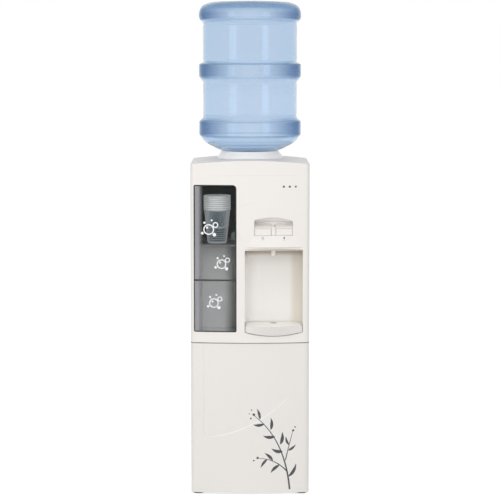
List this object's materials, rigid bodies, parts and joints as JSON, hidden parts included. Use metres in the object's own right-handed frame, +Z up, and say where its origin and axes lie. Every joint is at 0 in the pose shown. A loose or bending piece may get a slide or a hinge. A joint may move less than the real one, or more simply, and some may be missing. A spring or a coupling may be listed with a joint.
{
  "type": "bottled water dispenser",
  "caption": "Floor-standing hot and cold water dispenser with an upturned bottle, push flaps over a glass bay, drip tray and a smoked cup cupboard.",
  "frame": {"origin": "on the floor, under the middle of the whole dispenser", "axes": "+Z up, the front faces -Y, +X to the right as seen from the front"},
  "size_m": [0.31, 0.3468, 1.294],
  "materials": {
    "shell": "satin white",
    "side_sheet": "painted, satin",
    "cover_plastic": "light grey, satin",
    "white_plastic": "satin white",
    "niche_plastic": "grey moulding",
    "alcove_plastic": "satin",
    "window_frame": "dark moulding",
    "smoked": "smoked clear moulding",
    "cup": "clear",
    "bottle": "light blue, clear",
    "lens": "tinted",
    "rubber": "matt",
    "zinc_sheet": "zinc-plated sheet",
    "steel": "drawn steel",
    "copper": "copper tube",
    "black_wire": "black enamel",
    "compressor": "black enamel",
    "foam": "expanded foam",
    "inner_plastic": "natural moulding",
    "silicone": "translucent hose",
    "black_plastic": "black moulding"
  },
  "bodies": {
    "cabinet": {"alcove_liner": "alcove_plastic", "baffle": "inner_plastic", "base_pan": "zinc_sheet", "bottle_collar": "white_plastic", "cold_hose": "silicone", "cold_jacket": "foam", "cold_lens": "lens", "cold_tank": "steel", "cold_tap": "inner_plastic", "compressor": "compressor", "compressor_pads": "rubber", "condenser": "black_wire", "condenser_brackets": "black_wire", "condenser_wires": "black_wire", "cord_gland": "black_plastic", "cup_niche": "niche_plastic", "drain_pipe": "silicone", "evaporator": "copper", "feed_pipe": "inner_plastic", "feet": "rubber", "filter_drier": "copper", "heater": "steel", "hot_hose": "silicone", "hot_jacket": "foam", "hot_lens": "lens", "hot_shelf": "zinc_sheet", "hot_tank": "steel", "hot_tap": "inner_plastic", "left_side_panel": "side_sheet", "lower_front": "shell", "neck_guard": "white_plastic", "power_lens": "lens", "rear_panel": "zinc_sheet", "right_side_panel": "side_sheet", "spout": "white_plastic", "storage_liner": "niche_plastic", "switch_housings": "black_plastic", "tank_shelf": "zinc_sheet", "top_cover": "cover_plastic", "upper_front": "shell", "window_frame": "window_frame"},
    "cup_door_body": {"cup_door": "smoked", "door_knob": "smoked"},
    "bin_door_body": {"bin_door": "smoked"},
    "hot_button_body": {"hot_button": "white_plastic"},
    "cold_button_body": {"cold_button": "white_plastic"},
    "hot_stem_body": {"hot_stem": "inner_plastic", "hot_spring": "steel"},
    "cold_stem_body": {"cold_stem": "inner_plastic", "cold_spring": "steel"},
    "child_lock_body": {"child_lock": "inner_plastic"},
    "drip_tray_body": {"drip_tray": "white_plastic"},
    "drip_plate_body": {"drip_plate": "white_plastic"},
    "bottle_body": {"bottle": "bottle"},
    "hot_switch_body": {"hot_switch": "black_plastic"},
    "cold_switch_body": {"cold_switch": "black_plastic"},
    "drain_plug_body": {"drain_plug": "rubber"},
    "cup_stack_body": {"cup_stack": "cup"}
  },
  "joints": [
    {"name": "cup_door_swing", "type": "hinge", "parent": "cabinet", "child": "cup_door_body", "pos_m": [-0.1395, -0.15041, 0.691], "axis": [0, 0, -1], "range_deg": [0, 110]},
    {"name": "bin_door_tilt", "type": "hinge", "parent": "cabinet", "child": "bin_door_body", "pos_m": [-0.1429, -0.14989, 0.4409], "axis": [0.9952, -0.0978, 0], "range_deg": [0, 50]},
    {"name": "hot_button_press", "type": "hinge", "parent": "cabinet", "child": "hot_button_body", "pos_m": [0.0335, -0.1536, 0.6886], "axis": [-1, 0, 0], "range_deg": [0, 9], "stiffness_Nm_per_rad": 0.6},
    {"name": "cold_button_press", "type": "hinge", "parent": "cabinet", "child": "cold_button_body", "pos_m": [0.0885, -0.1536, 0.6886], "axis": [-1, 0, 0], "range_deg": [0, 9], "stiffness_Nm_per_rad": 0.6},
    {"name": "hot_stem_slide", "type": "slide", "parent": "cabinet", "child": "hot_stem_body", "axis": [0, 0, -1], "range_m": [0, 0.00252], "deforming": ["hot_spring"]},
    {"name": "cold_stem_slide", "type": "slide", "parent": "cabinet", "child": "cold_stem_body", "axis": [0, 0, -1], "range_m": [0, 0.00252], "deforming": ["cold_spring"]},
    {"name": "child_lock_slide", "type": "slide", "parent": "cabinet", "child": "child_lock_body", "axis": [1, 0, 0], "range_m": [-0.004, 0]},
    {"name": "drip_tray_slide", "type": "slide", "parent": "cabinet", "child": "drip_tray_body", "axis": [0, -1, 0], "range_m": [0, 0.1]},
    {"name": "drip_plate_lift", "type": "slide", "parent": "drip_tray_body", "child": "drip_plate_body", "axis": [0, 0, 1], "range_m": [0, 0.02]},
    {"name": "bottle_lift", "type": "slide", "parent": "cabinet", "child": "bottle_body", "axis": [0, 0, 1], "range_m": [0, 0.12]},
    {"name": "cup_stack_lift", "type": "slide", "parent": "cabinet", "child": "cup_stack_body", "axis": [0, 0, 1], "range_m": [0, 0.018]},
    {"name": "hot_switch_rock", "type": "hinge", "parent": "cabinet", "child": "hot_switch_body", "pos_m": [0.062, 0.1478, 0.33], "axis": [1, 0, 0], "range_deg": [0, 16]},
    {"name": "cold_switch_rock", "type": "hinge", "parent": "cabinet", "child": "cold_switch_body", "pos_m": [0.096, 0.1478, 0.33], "axis": [1, 0, 0], "range_deg": [0, 16]},
    {"name": "drain_plug_pull", "type": "slide", "parent": "cabinet", "child": "drain_plug_body", "axis": [0, 1, 0], "range_m": [0, 0.025]}
  ],
  "couplings": [
    {"joint": "hot_stem_slide", "follows": "hot_button_press", "m_per_rad": 0.016},
    {"joint": "cold_stem_slide", "follows": "cold_button_press", "m_per_rad": 0.016}
  ]
}
